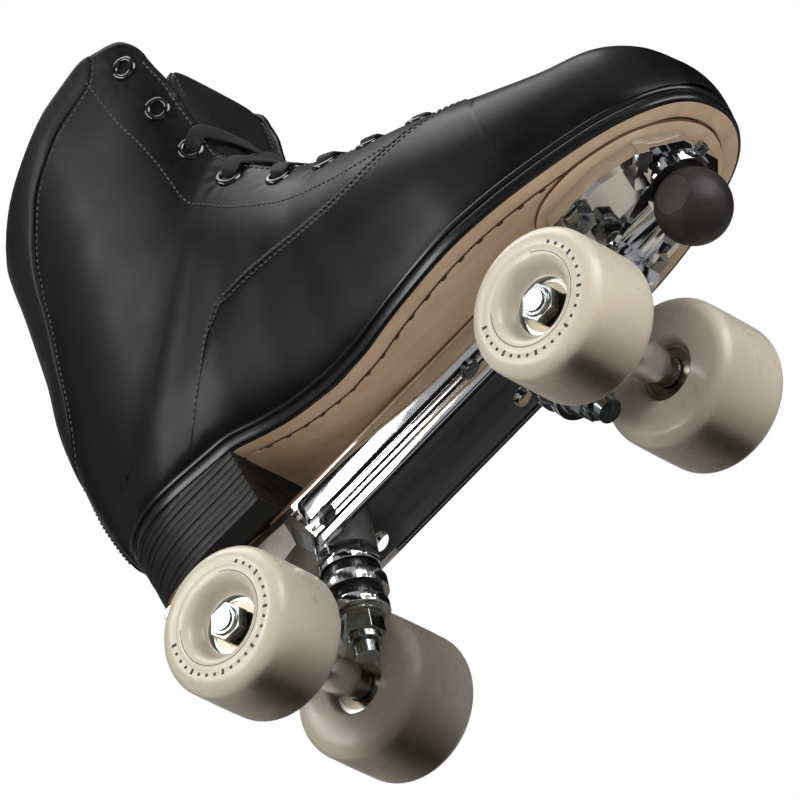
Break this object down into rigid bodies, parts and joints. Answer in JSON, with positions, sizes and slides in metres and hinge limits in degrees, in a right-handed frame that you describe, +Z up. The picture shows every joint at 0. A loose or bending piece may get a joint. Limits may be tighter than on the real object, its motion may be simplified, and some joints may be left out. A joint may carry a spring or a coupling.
{
  "type": "quad roller skate",
  "caption": "Left high-top quad roller skate: laced leather boot on a plated channel chassis with sprung steering trucks, spinning wheels and a toe stop.",
  "frame": {"origin": "on the ground below the centre of the whole skate's bounding box", "axes": "+X towards the toe, +Y towards the outer side of the left foot, +Z up"},
  "size_m": [0.2882, 0.113, 0.2885],
  "materials": {
    "upper_leather": "smooth satin",
    "collar_leather": "soft satin",
    "tongue_leather": "satin",
    "insole_board": "matt",
    "lace_weave": "woven",
    "eyelet_enamel": "gloss",
    "sole_leather": "burnished",
    "welt_leather": "gloss edge dressing",
    "heel_leather": "satin edge dressing",
    "plate_chrome": "polished",
    "shim_leather": "matt",
    "zinc_steel": "zinc plated",
    "axle_steel": "satin",
    "retainer_chrome": "polished",
    "hanger_chrome": "polished",
    "cushion_rubber": "gloss",
    "stop_rubber": "matt",
    "wheel_urethane": "satin",
    "bearing_steel": "polished",
    "bearing_shield": "satin"
  },
  "bodies": {
    "root": {"vamp": "upper_leather", "quarter_right": "upper_leather", "quarter_left": "upper_leather", "collar": "collar_leather", "tongue": "tongue_leather", "insole": "insole_board", "laces": "lace_weave", "eyelets": "eyelet_enamel", "outsole": "sole_leather", "welt": "welt_leather", "heel_lifts": "heel_leather", "plate": "plate_chrome", "plate_shim": "shim_leather", "plate_bolts": "zinc_steel", "plate_nuts": "zinc_steel", "toe_stop_set_screw": "zinc_steel", "front_kingpin": "zinc_steel", "front_kingpin_nut": "zinc_steel", "front_kingpin_jam_nut": "zinc_steel", "front_cushion_retainers": "retainer_chrome", "front_cushions": "cushion_rubber", "front_pivot_cup": "cushion_rubber", "rear_kingpin": "zinc_steel", "rear_kingpin_nut": "zinc_steel", "rear_kingpin_jam_nut": "zinc_steel", "rear_cushion_retainers": "retainer_chrome", "rear_cushions": "cushion_rubber", "rear_pivot_cup": "cushion_rubber"},
    "front_truck": {"front_hanger": "hanger_chrome", "front_axle": "axle_steel", "front_axle_nuts": "zinc_steel", "front_axle_washers": "zinc_steel", "front_bearing_inner_rings": "bearing_steel", "front_bearing_spacers": "bearing_steel"},
    "front_left_wheel_set": {"front_left_wheel": "wheel_urethane", "front_left_bearing_outer_rings": "bearing_steel", "front_left_bearing_shields": "bearing_shield", "front_left_bearing_balls": "bearing_steel"},
    "front_right_wheel_set": {"front_right_wheel": "wheel_urethane", "front_right_bearing_outer_rings": "bearing_steel", "front_right_bearing_shields": "bearing_shield", "front_right_bearing_balls": "bearing_steel"},
    "rear_truck": {"rear_hanger": "hanger_chrome", "rear_axle": "axle_steel", "rear_axle_nuts": "zinc_steel", "rear_axle_washers": "zinc_steel", "rear_bearing_inner_rings": "bearing_steel", "rear_bearing_spacers": "bearing_steel"},
    "rear_left_wheel_set": {"rear_left_wheel": "wheel_urethane", "rear_left_bearing_outer_rings": "bearing_steel", "rear_left_bearing_shields": "bearing_shield", "rear_left_bearing_balls": "bearing_steel"},
    "rear_right_wheel_set": {"rear_right_wheel": "wheel_urethane", "rear_right_bearing_outer_rings": "bearing_steel", "rear_right_bearing_shields": "bearing_shield", "rear_right_bearing_balls": "bearing_steel"},
    "toe_stop": {"toe_stop_pad": "stop_rubber", "toe_stop_stem": "zinc_steel"}
  },
  "joints": [
    {"name": "front_truck_steer", "type": "hinge", "parent": "root", "child": "front_truck", "pos_m": [0.03859, 0, 0.04217], "axis": [0.9548, 0, 0.2974], "range_deg": [-8, 8], "stiffness_Nm_per_rad": 40, "deforming": ["front_cushions"]},
    {"name": "front_left_wheel_spin", "type": "hinge", "parent": "front_truck", "child": "front_left_wheel_set", "pos_m": [0.0653, 0.03785, 0.0285], "axis": [0, 1, 0], "continuous": true},
    {"name": "front_right_wheel_spin", "type": "hinge", "parent": "front_truck", "child": "front_right_wheel_set", "pos_m": [0.0653, -0.03785, 0.0285], "axis": [0, 1, 0], "continuous": true},
    {"name": "rear_truck_steer", "type": "hinge", "parent": "root", "child": "rear_truck", "pos_m": [-0.07259, 0, 0.04217], "axis": [-0.9548, 0, 0.2974], "range_deg": [-8, 8], "stiffness_Nm_per_rad": 40, "deforming": ["rear_cushions"]},
    {"name": "rear_left_wheel_spin", "type": "hinge", "parent": "rear_truck", "child": "rear_left_wheel_set", "pos_m": [-0.0993, 0.03785, 0.0285], "axis": [0, 1, 0], "continuous": true},
    {"name": "rear_right_wheel_spin", "type": "hinge", "parent": "rear_truck", "child": "rear_right_wheel_set", "pos_m": [-0.0993, -0.03785, 0.0285], "axis": [0, 1, 0], "continuous": true},
    {"name": "toe_stop_height", "type": "slide", "parent": "root", "child": "toe_stop", "axis": [0, 0, -1], "range_m": [0, 0.01]}
  ]
}
